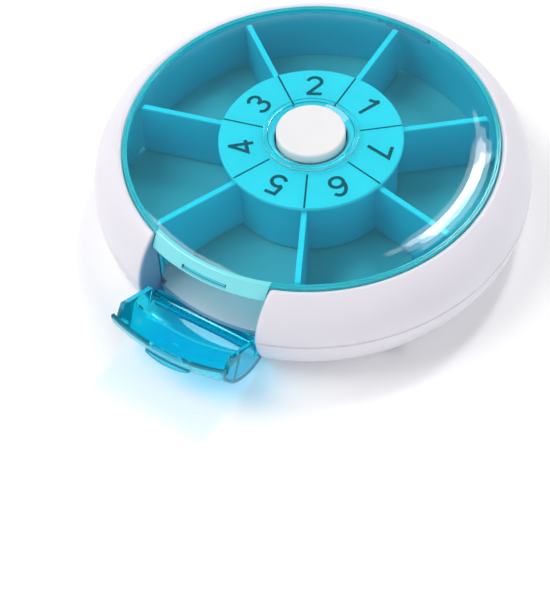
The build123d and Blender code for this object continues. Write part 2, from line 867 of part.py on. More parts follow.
def door():
    closed = door_skin() + door_sides() + door_stop() + thumb_lip() + catch()
    closed += along_x(door_knuckle_radius, door_half)
    closed -= along_x(door_pin_radius + running_gap, door_half + overrun)
    hinge = Pos(0, -door_pin_inset, door_pin_height)
    return hinge * Rot(door_open_angle, 0, 0) * hinge.inverse() * closed


def door_hinge_pin():
    return along_x(door_pin_radius, half_cutout + door_pin_grip)


nodes = {
    "lower_shell": lower_shell,
    "upper_ring": upper_ring,
    "floor_plate": floor_plate,
    "drum_wall": drum_wall_ring,
    "top_cover": top_cover,
    "housing_screws": housing_screws,
    "door_hinge_pin": door_hinge_pin,
    "wheel_washer": wheel_washer,
    "detent_spring": detent_spring,
    "detent_screw": detent_screw,
    "compartment_wheel": compartment_wheel,
    "number_disc": number_disc,
    "drive_sleeve": drive_sleeve,
    "pawl_ring": pawl_ring,
    "spring_washer": spring_washer,
    "button_cap": button_cap,
    "plunger": plunger,
    "stop_washer": stop_washer,
    "plunger_screw": plunger_screw,
    "return_spring": return_spring,
    "door": door,
}

for name, make in nodes.items():
    export_step(make(), f"parts/{name}.step")
    print("made", name)
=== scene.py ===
import math

import bmesh
import bpy
import numpy as np
from mathutils import Matrix, Vector


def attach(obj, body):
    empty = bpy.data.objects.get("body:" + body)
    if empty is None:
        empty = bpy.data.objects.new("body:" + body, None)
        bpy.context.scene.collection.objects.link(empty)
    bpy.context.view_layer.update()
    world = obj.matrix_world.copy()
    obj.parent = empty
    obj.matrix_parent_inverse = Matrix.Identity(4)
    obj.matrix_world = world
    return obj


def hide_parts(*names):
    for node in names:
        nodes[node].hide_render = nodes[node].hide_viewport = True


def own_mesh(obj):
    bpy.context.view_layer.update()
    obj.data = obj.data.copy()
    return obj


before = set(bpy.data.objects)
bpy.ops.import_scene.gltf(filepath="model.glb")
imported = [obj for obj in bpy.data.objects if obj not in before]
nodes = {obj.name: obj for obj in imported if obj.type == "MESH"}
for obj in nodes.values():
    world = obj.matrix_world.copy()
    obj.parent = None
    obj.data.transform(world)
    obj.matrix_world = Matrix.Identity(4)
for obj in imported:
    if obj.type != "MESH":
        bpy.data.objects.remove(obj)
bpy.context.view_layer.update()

mm = 0.001  # shapes are worked out in millimetres, Blender's unit is the metre
print("frame loaded:", len(nodes), "nodes")

# Camera, at the photograph's viewing angle
cameraSettings = {
    "place": (0.18450, -0.27837, 0.39490),
    "elevation": 52.64,
    "azimuth": 35.6,
    "roll": -3.75,
    "lens": 114.44,
    "sensor": 36,
    "clip": (0.01, 20),
}


def addCamera(s):
    # Looks along (0, cos elevation, -sin elevation) turned by azimuth about Z, then rolled about that line.
    el, az, roll = (math.radians(s[k]) for k in ("elevation", "azimuth", "roll"))
    turn = Matrix.Rotation(az, 3, "Z")
    ahead = turn @ Vector((0, math.cos(el), -math.sin(el)))
    right = turn @ Vector((1, 0, 0))
    up = right.cross(ahead)
    rolledRight = math.cos(roll) * right + math.sin(roll) * up
    rolledUp = rolledRight.cross(ahead)
    data = bpy.data.cameras.new("photoCamera")
    data.lens = s["lens"]
    data.sensor_width = s["sensor"]
    data.sensor_fit = "AUTO"
    data.clip_start, data.clip_end = s["clip"]
    camera = bpy.data.objects.new("photoCamera", data)
    facing = Matrix((rolledRight, rolledUp, -ahead)).transposed().to_4x4()
    camera.matrix_world = Matrix.Translation(s["place"]) @ facing
    bpy.context.scene.collection.objects.link(camera)
    bpy.context.scene.camera = camera


addCamera(cameraSettings)
print("camera placed")


# Node helpers: each adds nodes to a tree and hands back the node or the socket to read
def addNode(tree, kind, place=(0, 0), **values):
    node = tree.nodes.new(kind)
    node.location = place
    for name, value in values.items():
        setattr(node, name, value)
    return node


def setInputs(node, values):
    for name, value in values.items():
        node.inputs[name].default_value = value


def newGroup(name, inputs, outputs):
    # An empty shader group whose named inputs and outputs are all plain numbers.
    group = bpy.data.node_groups.new(name, "ShaderNodeTree")
    for label, value in inputs.items():
        socket = group.interface.new_socket(label, in_out="INPUT", socket_type="NodeSocketFloat")
        socket.default_value = value
    for label in outputs:
        group.interface.new_socket(label, in_out="OUTPUT", socket_type="NodeSocketFloat")
    start = addNode(group, "NodeGroupInput", (-900, 0))
    end = addNode(group, "NodeGroupOutput", (600, 0))
    return group, start, end


def mathNode(tree, operation, a, b=None, c=None, clamp=False):
    # Each of a, b and c is a number or a socket.
    node = addNode(tree, "ShaderNodeMath", operation=operation, use_clamp=clamp)
    for i, value in enumerate((a, b, c)):
        if value is None:
            continue
        if isinstance(value, (int, float)):
            node.inputs[i].default_value = value
        else:
            tree.links.new(value, node.inputs[i])
    return node.outputs[0]


def mixColour(tree, factor, a, b):
    # From a at factor 0 to b at factor 1, each a socket or a colour of three numbers.
    node = addNode(tree, "ShaderNodeMix", data_type="RGBA")
    tree.links.new(factor, node.inputs[0])
    for socket, value in ((node.inputs[6], a), (node.inputs[7], b)):
        if isinstance(value, bpy.types.NodeSocket):
            tree.links.new(value, socket)
        else:
            socket.default_value = (*value, 1)
    return node.outputs[2]


def rangeNode(tree, value, low, high, toLow, toHigh, smooth=False):
    # The value's run from low to high made a run from toLow to toHigh, straight or as a smooth step.
    node = addNode(tree, "ShaderNodeMapRange", clamp=True)
    if smooth:
        node.interpolation_type = "SMOOTHSTEP"
    tree.links.new(value, node.inputs["Value"])
    setInputs(node, {"From Min": low, "From Max": high, "To Min": toLow, "To Max": toHigh})
    return node.outputs["Result"]


def objectPlace(tree):
    # The shaded point in the object's own coordinates.
    return addNode(tree, "ShaderNodeTexCoord").outputs["Object"]


def splitPlace(tree, place):
    # The sockets X, Y and Z of a place.
    split = addNode(tree, "ShaderNodeSeparateXYZ")
    tree.links.new(place, split.inputs[0])
    return split.outputs


def stretchPlace(tree, place, scale, turn=(0, 0, 0)):
    # A place turned and scaled, so that a noise read there is drawn out along one direction.
    stretch = addNode(tree, "ShaderNodeMapping")
    setInputs(stretch, {"Rotation": turn, "Scale": scale})
    tree.links.new(place, stretch.inputs["Vector"])
    return stretch.outputs["Vector"]


def noiseNode(tree, place, values):
    noise = addNode(tree, "ShaderNodeTexNoise")
    setInputs(noise, values)
    tree.links.new(place, noise.inputs["Vector"])
    return noise


def addGroup(tree, group, values):
    node = addNode(tree, "ShaderNodeGroup", (-700, 0), node_tree=group)
    setInputs(node, values)
    return node


# Moulded skin: the orange peel, flow marks and fine scratches that moulded plastic has
skinSettings = {
    "peelNoise": {"Detail": 2.0, "Roughness": 0.45},
    "flowNoise": {"Detail": 3.0, "Roughness": 0.55, "Distortion": 0.6},
    "flowBand": (0.3, 0.7),
    "scratchNoise": {"Scale": 1.0, "Detail": 1.0},
    "scratchScale": (2600, 90, 400),
    "scratchTurn": (0.3, 0.2, 0.7),
    "scratchBand": (0.66, 0.78),
    "scratchDulling": 0.5,
}


def buildMouldedSkin(s):
    # Height is the peel less the scratches, Tone the flow marks, Polish the flow marks plus the scratches.
    inputs = {"Peel Size": 0.0012, "Flow Size": 0.02, "Scratch Amount": 0.3}
    group, start, end = newGroup("mouldedSkin", inputs, ("Height", "Tone", "Polish"))
    links = group.links
    place = objectPlace(group)
    peel = noiseNode(group, place, s["peelNoise"])
    links.new(mathNode(group, "DIVIDE", 1.0, start.outputs["Peel Size"]), peel.inputs["Scale"])
    flow = noiseNode(group, place, s["flowNoise"])
    links.new(mathNode(group, "DIVIDE", 1.0, start.outputs["Flow Size"]), flow.inputs["Scale"])
    stretched = stretchPlace(group, place, s["scratchScale"], s["scratchTurn"])
    scratch = noiseNode(group, stretched, s["scratchNoise"])
    lines = rangeNode(group, scratch.outputs[0], *s["scratchBand"], 0.0, 1.0)
    scratches = mathNode(group, "MULTIPLY", lines, start.outputs["Scratch Amount"])
    height = mathNode(group, "SUBTRACT", peel.outputs[0], scratches)
    tone = rangeNode(group, flow.outputs[0], *s["flowBand"], 0.0, 1.0)
    dulled = s["scratchDulling"]
    polish = mathNode(group, "MULTIPLY_ADD", scratches, dulled, flow.outputs[0], clamp=True)
    links.new(height, end.inputs["Height"])
    links.new(tone, end.inputs["Tone"])
    links.new(polish, end.inputs["Polish"])
    return group


# Height band: dust in a seam or at the foot
dustNoise = {"Scale": 260.0, "Detail": 3.0}


def buildHeightBand():
    # Mask is 1 at the middle height and a smooth step down to 0 at the half width, broken up by noise.
    inputs = {"Middle": 0.0132, "Half Width": 0.001, "Breakup": 0.5}
    group, start, end = newGroup("heightBand", inputs, ("Mask",))
    place = objectPlace(group)
    away = mathNode(group, "SUBTRACT", splitPlace(group, place)["Z"], start.outputs["Middle"])
    distance = mathNode(group, "ABSOLUTE", away)
    share = mathNode(group, "DIVIDE", distance, start.outputs["Half Width"])
    band = rangeNode(group, share, 0.0, 1.0, 1.0, 0.0, smooth=True)
    noise = noiseNode(group, place, dustNoise)
    broken = mathNode(group, "MULTIPLY", noise.outputs[0], start.outputs["Breakup"])
    kept = mathNode(group, "SUBTRACT", 1.0, broken)
    group.links.new(mathNode(group, "MULTIPLY", band, kept, clamp=True), end.inputs["Mask"])
    return group


mouldedSkin = buildMouldedSkin(skinSettings)
heightBand = buildHeightBand()
print("shader groups built")


# Materials
def startMaterial(name, shader):
    # A material with one Principled shader whose plain values are set on its own sockets.
    material = bpy.data.materials.new(name)
    material.use_nodes = True
    tree = material.node_tree
    principled = tree.nodes["Principled BSDF"]
    setInputs(principled, shader)
    return material, tree, principled


def addBump(tree, principled, height, distance):
    bump = addNode(tree, "ShaderNodeBump", (-250, -300))
    setInputs(bump, {"Strength": 1.0, "Distance": distance})
    tree.links.new(height, bump.inputs["Height"])
    tree.links.new(bump.outputs["Normal"], principled.inputs["Normal"])


def addSkin(tree, s):
    # The skin's marks and the colour that its flow marks give, from dark to light.
    sizes = {"Peel Size": s["peelSize"], "Flow Size": s["flowSize"], "Scratch Amount": s["scratches"]}
    skin = addGroup(tree, mouldedSkin, sizes)
    return skin, mixColour(tree, skin.outputs["Tone"], s["dark"], s["light"])


def joinSkin(tree, principled, s, skin, colour):
    # Joins the colour, the roughness by polish and the bump by height to the shader.
    tree.links.new(colour, principled.inputs["Base Color"])
    roughness = rangeNode(tree, skin.outputs["Polish"], *s["polishBand"], *s["roughness"])
    tree.links.new(roughness, principled.inputs["Roughness"])
    addBump(tree, principled, skin.outputs["Height"], s["peelDepth"])


def cutMask(tree, s):
    # 1 where |x| is between inner and half, z between bottom and top, and y in front of the front line,
    # with each limit faded over the soft width to both sides.
    place = splitPlace(tree, objectPlace(tree))
    soft = s["soft"]

    def over(value, limit):
        return rangeNode(tree, value, limit - soft, limit + soft, 0.0, 1.0)

    def under(value, limit):
        return rangeNode(tree, value, limit - soft, limit + soft, 1.0, 0.0)

    across = mathNode(tree, "ABSOLUTE", place["X"])
    inWidth = mathNode(tree, "MULTIPLY", over(across, s["inner"]), under(across, s["half"]))
    inHeight = mathNode(tree, "MULTIPLY", over(place["Z"], s["bottom"]), under(place["Z"], s["top"]))
    inFront = under(place["Y"], -s["front"])
    return mathNode(tree, "MULTIPLY", inWidth, mathNode(tree, "MULTIPLY", inFront, inHeight))


# What every moulded plastic shares
mouldedShader = {
    "IOR": 1.5,
    "Subsurface Scale": 0.004,
    "Subsurface Radius": (1.0, 1.0, 1.0),
    "Coat Roughness": 0.12,
}


def solidPlastic(name, s):
    # Moulded plastic: flow-mark colour, dust bands, painted highlight at the top edge, painted shade in
    # cuts.
    shader = dict(mouldedShader)
    shader["Subsurface Weight"] = s["glow"]
    shader["Coat Weight"] = s.get("coat", 0.0)
    shader["Transmission Weight"] = s.get("clearness", 0.0)
    material, tree, principled = startMaterial(name, shader)
    skin, colour = addSkin(tree, s)
    for dust in s.get("dust", ()):
        sizes = {"Middle": dust["middle"], "Half Width": dust["half"], "Breakup": dust["breakup"]}
        band = addGroup(tree, heightBand, sizes)
        share = mathNode(tree, "MULTIPLY", band.outputs["Mask"], dust["amount"])
        colour = mixColour(tree, share, colour, dust["colour"])
    # Painted highlight: the colour turns to the edge colour from the bottom height up to the top height.
    if s.get("edge"):
        edge = s["edge"]
        height = splitPlace(tree, objectPlace(tree))["Z"]
        paintedHighlight = rangeNode(tree, height, edge["bottom"], edge["top"], 0.0, 1.0, smooth=True)
        colour = mixColour(tree, paintedHighlight, colour, edge["colour"])
    for cut in s.get("cuts", ()):
        colour = mixColour(tree, cutMask(tree, cut), colour, cut["colour"])
    joinSkin(tree, principled, s, skin, colour)
    return material


def clearPlastic(name, s):
    # Clear tinted plastic: light from the lamps passes through it, filtered by the tint at each face.
    shader = {"Transmission Weight": s["clearness"], "IOR": s["ior"], "Metallic": 0.0}
    shader["Specular IOR Level"] = s["mirror"]
    material, tree, principled = startMaterial(name, shader)
    skin, colour = addSkin(tree, s)
    joinSkin(tree, principled, s, skin, colour)
    passing = addNode(tree, "ShaderNodeBsdfTransparent", (100, -300))
    passing.inputs["Color"].default_value = (*s["lampTint"], 1)
    path = addNode(tree, "ShaderNodeLightPath", (100, 300))
    mix = addNode(tree, "ShaderNodeMixShader", (400, 0))
    shadow, diffuse = path.outputs["Is Shadow Ray"], path.outputs["Is Diffuse Ray"]
    tree.links.new(mathNode(tree, "MAXIMUM", shadow, diffuse), mix.inputs[0])
    tree.links.new(principled.outputs[0], mix.inputs[1])
    tree.links.new(passing.outputs[0], mix.inputs[2])
    tree.links.new(mix.outputs[0], tree.nodes["Material Output"].inputs["Surface"])
    return material


noiseBand = (0.3, 0.7)  # the part of a noise's range that makes its roughness
drawNoise = {"Scale": 1.0, "Detail": 4.0}


def toneByNoise(tree, principled, noise, s):
    # Colour from dark to light and roughness from low to high, both by one noise.
    colour = mixColour(tree, noise.outputs[0], s["dark"], s["light"])
    tree.links.new(colour, principled.inputs["Base Color"])
    roughness = rangeNode(tree, noise.outputs[0], *noiseBand, *s["roughness"])
    tree.links.new(roughness, principled.inputs["Roughness"])


def metal(name, s):
    # Drawn or plated steel: draw marks in colour, roughness and bump, drawn out by the grain.
    material, tree, principled = startMaterial(name, {"Metallic": 1.0})
    stretched = stretchPlace(tree, objectPlace(tree), s["grain"])
    noise = noiseNode(tree, stretched, drawNoise)
    toneByNoise(tree, principled, noise, s)
    addBump(tree, principled, noise.outputs[0], s["depth"])
    return material


# Housing: satin white shell, painted shade on the cheeks beside the door, dust in the seam and at the foot.
# Sizes in the materials are in metres, as object coordinates are.
shellSettings = {
    "dark": (0.76, 0.74, 0.80),
    "light": (0.79, 0.765, 0.83),
    "roughness": (0.30, 0.42),
    "polishBand": (0.3, 0.9),
    "peelSize": 0.0011,
    "peelDepth": 0.000006,
    "flowSize": 0.03,
    "scratches": 0.15,
    "glow": 0.12,
    "cuts": [
        # painted shade: the cut-out's cheeks in grey-blue for the shade and blue door light that fall there
        {
            "inner": 0.0158, "half": 0.0174, "bottom": 0.0, "top": 0.0262,
            "front": 0.0445, "soft": 0.0003, "colour": (0.22, 0.36, 0.50),
        },
    ],
    "dust": [
        {
            "middle": 0.0132, "half": 0.0007, "amount": 0.35, "breakup": 0.8,
            "colour": (0.45, 0.42, 0.44),
        },
        {
            "middle": 0.0, "half": 0.0012, "amount": 0.30, "breakup": 0.8,
            "colour": (0.55, 0.53, 0.52),
        },
    ],
}
whiteShell = solidPlastic("whiteShell", shellSettings)

# Button: softer white with a matt top
buttonSettings = dict(
    shellSettings,
    dark=(0.80, 0.79, 0.80),
    light=(0.83, 0.82, 0.83),
    roughness=(0.38, 0.5),
    peelSize=0.0006,
    cuts=[],
    dust=[],
)
whiteButton = solidPlastic("whiteButton", buttonSettings)

# Floor plate: matt white plastic, painted mid grey as painted shade inside the compartments and under the
# apron
floorSettings = dict(
    shellSettings,
    dark=(0.50, 0.50, 0.55),
    light=(0.56, 0.56, 0.61),
    roughness=(0.45, 0.6),
    scratches=0.4,
    cuts=[],
    dust=[],
)
paintedShadeFloor = solidPlastic("paintedShadeFloor", floorSettings)

# Wheel and wall: turquoise, with a painted highlight along their top edges
wheelSettings = {
    "dark": (0.045, 0.53, 0.68),
    "light": (0.06, 0.59, 0.75),
    "roughness": (0.32, 0.45),
    "polishBand": (0.3, 0.9),
    "peelSize": 0.0009,
    "peelDepth": 0.000004,
    "flowSize": 0.018,
    "scratches": 0.25,
    "glow": 0.1,
    # painted highlight along the top edges of the vanes and wall
    "edge": {"bottom": 0.0240, "top": 0.0247, "colour": (0.20, 0.80, 0.92)},
}
wheelPlastic = solidPlastic("wheelPlastic", wheelSettings)

# Number disc: bright turquoise
discSettings = dict(wheelSettings, dark=(0.23, 0.77, 0.86), light=(0.26, 0.81, 0.90), edge=None)
discPlastic = solidPlastic("discPlastic", discSettings)

# Cover and door: glossy clear cyan
coverSettings = {
    "dark": (0.25, 0.93, 0.99),
    "light": (0.28, 0.95, 1.0),
    "lampTint": (0.60, 0.96, 0.99),
    "clearness": 0.98,
    "ior": 1.49,
    "mirror": 0.42,
    "roughness": (0.04, 0.06),
    "polishBand": (0.35, 0.9),
    "peelSize": 0.009,
    "peelDepth": 0.0000012,
    "flowSize": 0.03,
    "scratches": 0.05,
}
clearCover = clearPlastic("clearCover", coverSettings)
doorSettings = dict(
    coverSettings,
    dark=(0.03, 0.77, 0.89),
    light=(0.04, 0.83, 0.93),
    lampTint=(0.15, 0.80, 0.94),
    clearness=0.92,
    mirror=0.2,
    roughness=(0.03, 0.07),
)
clearDoor = clearPlastic("clearDoor", doorSettings)

# Inner mechanism: natural plastic, spring steel and zinc-plated steel
naturalSettings = dict(
    wheelSettings,
    dark=(0.70, 0.69, 0.62),
    light=(0.78, 0.77, 0.70),
    glow=0.2,
    roughness=(0.4, 0.55),
)
naturalPlastic = solidPlastic("naturalPlastic", naturalSettings)
springSettings = {
    "dark": (0.42, 0.42, 0.44),
    "light": (0.62, 0.62, 0.64),
    "roughness": (0.22, 0.38),
    "grain": (900, 900, 900),
    "depth": 0.000003,
}
springSteel = metal("springSteel", springSettings)
zincSettings = {
    "dark": (0.62, 0.63, 0.66),
    "light": (0.80, 0.81, 0.83),
    "roughness": (0.25, 0.45),
    "grain": (1500, 300, 1500),
    "depth": 0.000004,
}
zincSteel = metal("zincSteel", zincSettings)

nodeMaterials = {
    whiteShell: ("lower_shell", "upper_ring"),
    whiteButton: ("button_cap",),
    paintedShadeFloor: ("floor_plate",),
    wheelPlastic: ("drum_wall", "compartment_wheel"),
    discPlastic: ("number_disc",),
    clearCover: ("top_cover",),
    clearDoor: ("door",),
    naturalPlastic: ("plunger", "drive_sleeve", "pawl_ring", "wheel_washer", "detent_spring"),
    springSteel: ("return_spring", "door_hinge_pin"),
    zincSteel: ("housing_screws", "detent_screw", "plunger_screw", "stop_washer", "spring_washer"),
}
for material, names in nodeMaterials.items():
    for name in names:
        slots = nodes[name].data.materials
        slots.clear()
        slots.append(material)
print("materials assigned")

# Surfaces: points nearer than merge, in mm, become one, and edges over sharpOver, in degrees, stay sharp
meshSettings = {"merge": 0.002, "sharpOver": 50}


def newPiece(name, points, faces, material, body, smooth=True):
    # A closed mesh object at the origin from points in mm and faces: doubles merged, faces turned outwards.
    mesh = bpy.data.meshes.new(name)
    mesh.from_pydata((points * mm).tolist(), [], faces.tolist())
    work = bmesh.new()
    work.from_mesh(mesh)
    bmesh.ops.remove_doubles(work, verts=work.verts, dist=meshSettings["merge"] * mm)
    bmesh.ops.recalc_face_normals(work, faces=work.faces)
    work.to_mesh(mesh)
    work.free()
    if smooth:
        mesh.shade_smooth()
        mesh.set_sharp_from_angle(angle=math.radians(meshSettings["sharpOver"]))
    else:
        mesh.shade_flat()
    mesh.materials.append(material)
    piece = bpy.data.objects.new(name, mesh)
    bpy.context.scene.collection.objects.link(piece)
    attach(piece, body)
    return piece


def gridFaces(rows, columns, closeRows=False):
    # Quads from (row, column) to (next row, next column), where the columns run round a closed outline.
    row = np.arange(rows if closeRows else rows - 1)[:, None]
    column = np.arange(columns)[None, :]
    nextRow = (row + 1) % rows
    nextColumn = (column + 1) % columns
    corners = (
        row * columns + column,
        nextRow * columns + column,
        nextRow * columns + nextColumn,
        row * columns + nextColumn,
    )
    return np.stack(corners, axis=-1).reshape(-1, 4)


def roundCorners(corners, radii, count=5):
    # A closed outline whose corners are the curves (1-t)^2 start + 2t(1-t) corner + t^2 end,
    # with start and end one radius from the corner along its two sides.
    corners = np.array(corners, float)
    radii = np.array(radii, float)[:, None]
    before = np.roll(corners, 1, axis=0) - corners
    after = np.roll(corners, -1, axis=0) - corners
    start = corners + before / np.linalg.norm(before, axis=1)[:, None] * radii
    end = corners + after / np.linalg.norm(after, axis=1)[:, None] * radii
    t = np.linspace(0, 1, count)[None, :, None]
    curve = (1 - t) ** 2 * start[:, None] + 2 * t * (1 - t) * corners[:, None] + t**2 * end[:, None]
    return curve.reshape(-1, 2)


def turnedSolid(outline, count=240):
    # An outline of (radius, height) carried round Z: x = r cos a, y = r sin a for count even angles.
    angle = np.linspace(0, 2 * np.pi, count, endpoint=False)[:, None]
    radius, height = outline[:, 0][None], outline[:, 1][None]
    points = np.stack((radius * np.cos(angle), radius * np.sin(angle), height + 0 * angle), axis=2)
    return points.reshape(-1, 3), gridFaces(count, len(outline), closeRows=True)


def stripSolid(outline, across, side, inset=0.0):
    # An outline of (radius, height) carried across X: y = side * sqrt(r^2 - x^2), with inset taken off
    # the radius where it is given, and each end drawn together to the outline's middle.
    x = np.array(across, float)[:, None]
    radius = outline[:, 0][None] - inset
    height = outline[:, 1][None] + 0 * x
    x = x + 0 * height
    points = np.stack((x, side * np.sqrt(radius**2 - x**2), height), axis=2)
    caps = points[[0, -1]].mean(axis=1, keepdims=True) + 0 * points[[0, -1]]
    points = np.concatenate((caps[:1], points, caps[1:]))
    return points.reshape(-1, 3), gridFaces(len(points), len(outline))


# Cover: a clear dome with a collar round the button
coverShape = {
    "edgeRadius": 48.9,
    "rimHeight": 26.0,
    "rise": 1.75,
    "wall": 0.55,
    "windowRadius": 47.7,
    "shoulderRadius": 40.5,
    "shoulderBend": 0.0275,
    "collarRadius": 12.6,
    "collarLean": 0.12,
    "crownRadius": 11.4,
    "crownRise": 0.6,
    "lipDrop": 0.95,
    "holeRadius": 9.4,
    "plainRound": 0.02,
    "collarRounds": (0.06, 0.22, 0.4, 0.06),  # foot, outer edge, crown and hole
    "outerRings": 28,
    "innerRings": 32,
}


def domeHeight(s, radius, depth=0.0):
    # Height of the sphere through the rim and the rise, set in by depth: centre + sqrt(R^2 - r^2).
    sphere = (s["edgeRadius"] ** 2 + s["rise"] ** 2) / (2 * s["rise"])
    centre = s["rimHeight"] + s["rise"] - sphere
    return centre + np.sqrt((sphere - depth) ** 2 - np.square(radius))


def shoulderDrop(s, radius):
    # Extra fall past the shoulder's radius: bend * (r - shoulder)^2 / 2.
    return s["shoulderBend"] * np.maximum(radius - s["shoulderRadius"], 0) ** 2 / 2


def addWindow(s):
    # Turned outline: dome less shoulder drop on the outside, then the collar's outer edge, crown and hole,
    # then the dome one wall in, less half the drop, on the inside.
    outside = np.linspace(s["windowRadius"], s["collarRadius"], s["outerRings"])
    inside = np.linspace(s["holeRadius"], s["windowRadius"], s["innerRings"])
    outer = np.column_stack((outside, domeHeight(s, outside) - shoulderDrop(s, outside)))
    inner = np.column_stack((inside, domeHeight(s, inside, s["wall"]) - shoulderDrop(s, inside) / 2))
    crown = domeHeight(s, s["collarRadius"]) + s["crownRise"]
    collar = [
        (s["collarRadius"] - s["collarLean"], crown),
        (s["crownRadius"], crown),
        (s["holeRadius"], crown - s["lipDrop"]),
    ]
    corners = np.vstack((outer, collar, inner))
    radii = np.full(len(corners), s["plainRound"])
    foot = len(outer) - 1
    radii[foot:foot + len(s["collarRounds"])] = s["collarRounds"]
    points, faces = turnedSolid(roundCorners(corners, radii))
    window = newPiece("cover_window", points, faces, clearCover, "housing")
    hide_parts("top_cover")


addWindow(coverShape)

# Rim: the cover's bright edge, with a fine groove along its top
rimShape = {
    "inner": 47.65,
    "bottom": 25.02,
    "chamfer": (0.15, 0.2),
    "edgeDrop": 0.05,
    "groove": ((48.45, 0.03), (48.33, -0.16), (48.21, 0.05)),  # radius, and height over rimHeight
    "lift": 0.01,  # height of the inner corner over the dome
    "rounds": (0.1, 0.08, 0.08, 0.12, 0.08, 0.05, 0.08, 0.1),  # one radius for each corner in turn
    "cornerSteps": 4,
}
rimSettings = dict(
    wheelSettings,
    dark=(0.04, 0.74, 0.85),
    light=(0.06, 0.82, 0.92),
    roughness=(0.12, 0.2),
    edge=None,
    glow=0.0,
    clearness=0.5,
)


def addRim(s, cover):
    # Turned outline: chamfered foot, upright outside, then the groove's three corners and in to the dome.
    edge, top = cover["edgeRadius"], cover["rimHeight"]
    outline = [
        (s["inner"], s["bottom"]),
        (edge - s["chamfer"][0], s["bottom"]),
        (edge, s["bottom"] + s["chamfer"][1]),
        (edge, top - s["edgeDrop"]),
    ]
    outline += [(radius, top + height) for radius, height in s["groove"]]
    outline.append((s["inner"], domeHeight(cover, s["inner"]) + s["lift"]))
    points, faces = turnedSolid(roundCorners(outline, s["rounds"], s["cornerSteps"]))
    material = solidPlastic("rimPlastic", rimSettings)
    newPiece("cover_rim", points, faces, material, "housing")


addRim(rimShape, coverShape)

# Apron: the cover's skirt over the door, with painted shade in its slot, darkest on the walls, deeper blue
# on the bottom
apronShape = {
    "radius": 51.2,
    "bottom": 22.4,
    "wall": 1.1,
    "half": 16.7,
    "lap": (0.1, 0.12),  # top inner corner, out from the rim's inside and over its height
    "browDrop": 0.05,
    "browRise": 0.07,
    "footLap": 0.2,
    "slotHalf": 6.5,
    "slotBottom": 22.85,
    "slotTop": 23.95,
    "slotDepth": 0.5,
    "wallLean": 0.03,  # half of what a slot's wall takes up the face
    "wallSpread": 0.04,  # half of what it takes across
    "faceBand": 0.05,  # how far behind the face a point still counts as on it
    "sideColumns": 26,
    "slotColumns": 40,
    "rounds": (0.1, 0.4, 0.02, 0.02, 0.02, 0.02, 0.3, 0.25, 0.3),
}
apronSettings = dict(
    rimSettings,
    dark=(0.22, 0.86, 0.93),
    light=(0.26, 0.90, 0.96),
    roughness=(0.16, 0.26),
    clearness=0.15,
    coat=0.4,
    cuts=[
        # painted shade in the slot: a dark band on its walls, a deeper blue over its bottom
        {
            "inner": -0.001, "half": 0.0065, "bottom": 0.0229, "top": 0.0239,
            "front": 0.03, "soft": 0.00006, "colour": (0.0, 0.12, 0.20),
        },
        {
            "inner": -0.001, "half": 0.0061, "bottom": 0.02308, "top": 0.02372,
            "front": 0.03, "soft": 0.00005, "colour": (0.01, 0.70, 0.92),
        },
    ],
)


def addApron(s, cover, rim):
    # Outline whose face leans out evenly from the rim's edge to the foot, carried across X.
    # Face points between the slot's heights, in columns between its ends, are set in by its depth.
    top, low, slot = cover["rimHeight"], s["bottom"], s["slotHalf"]
    high = top - s["browDrop"]
    slope = (s["radius"] - cover["edgeRadius"]) / (top - low)

    def faceRadius(height):
        return s["radius"] - slope * (height - low)

    lean, spread = s["wallLean"], s["wallSpread"]
    wallEnds = [end + sign * lean for end in (s["slotTop"], s["slotBottom"]) for sign in (1, -1)]
    corners = [(rim["inner"] + s["lap"][0], top + s["lap"][1]), (faceRadius(high), high + s["browRise"])]
    corners += [(faceRadius(height), height) for height in wallEnds]
    corners += [
        (s["radius"], low),
        (s["radius"] - s["wall"], low),
        (rim["inner"] + s["footLap"], rim["bottom"]),
    ]
    outline = roundCorners(corners, s["rounds"])
    across = np.concatenate((
        np.linspace(-s["half"], -slot - spread, s["sideColumns"]),
        np.linspace(-slot + spread, slot - spread, s["slotColumns"]),
        np.linspace(slot + spread, s["half"], s["sideColumns"]),
    ))
    radius, height = outline.T
    onFace = radius > faceRadius(height) - s["faceBand"]
    inSlot = onFace & (height > s["slotBottom"]) & (height < s["slotTop"])
    inset = s["slotDepth"] * inSlot[None, :] * (np.abs(across) < slot)[:, None]
    points, faces = stripSolid(outline, across, -1, inset)
    material = solidPlastic("apronPlastic", apronSettings)
    newPiece("cover_apron", points, faces, material, "housing")


addApron(apronShape, coverShape, rimShape)

# Tab: the cover's latch at the rear, in a dark teal that is painted shade
tabShape = {
    "span": (-5.2, 7.8),
    "from": 46.9,
    "to": 48.65,
    "bottom": 23.72,
    "rounds": (0.2, 0.2, 0.05, 0.05),
    "columns": 40,
}
tabSettings = dict(
    rimSettings,
    dark=(0.0, 0.26, 0.42),
    light=(0.0, 0.32, 0.50),
    clearness=0.0,
    roughness=(0.4, 0.5),
)


def addTab(s, rim):
    # A rounded rectangle of (radius, height) under the rim, carried across X.
    inner, outer, low, high = s["from"], s["to"], s["bottom"], rim["bottom"]
    outline = roundCorners([(inner, low), (outer, low), (outer, high), (inner, high)], s["rounds"])
    points, faces = stripSolid(outline, np.linspace(*s["span"], s["columns"]), 1)
    material = solidPlastic("tabPlastic", tabSettings)
    newPiece("cover_tab", points, faces, material, "housing")


addTab(tabShape, rimShape)

# Collar lines: painted shade lines at the collar's two corners, where clear plastic seen edge-on looks
# darker
lineShape = {
    "foot": (-0.2, 0.02, 0.03),  # inside and outside from the collar's radius, and height over the dome
    "crown": (-0.3, -0.05, -0.02),  # the same from the crown's radius, and height over the lip
    "thick": 0.1,
    "rounds": (0.03, 0.03, 0.03, 0.03),
    "cornerSteps": 3,
}
lineSettings = dict(rimSettings, dark=(0.0, 0.33, 0.46), light=(0.0, 0.38, 0.52), clearness=0.3)


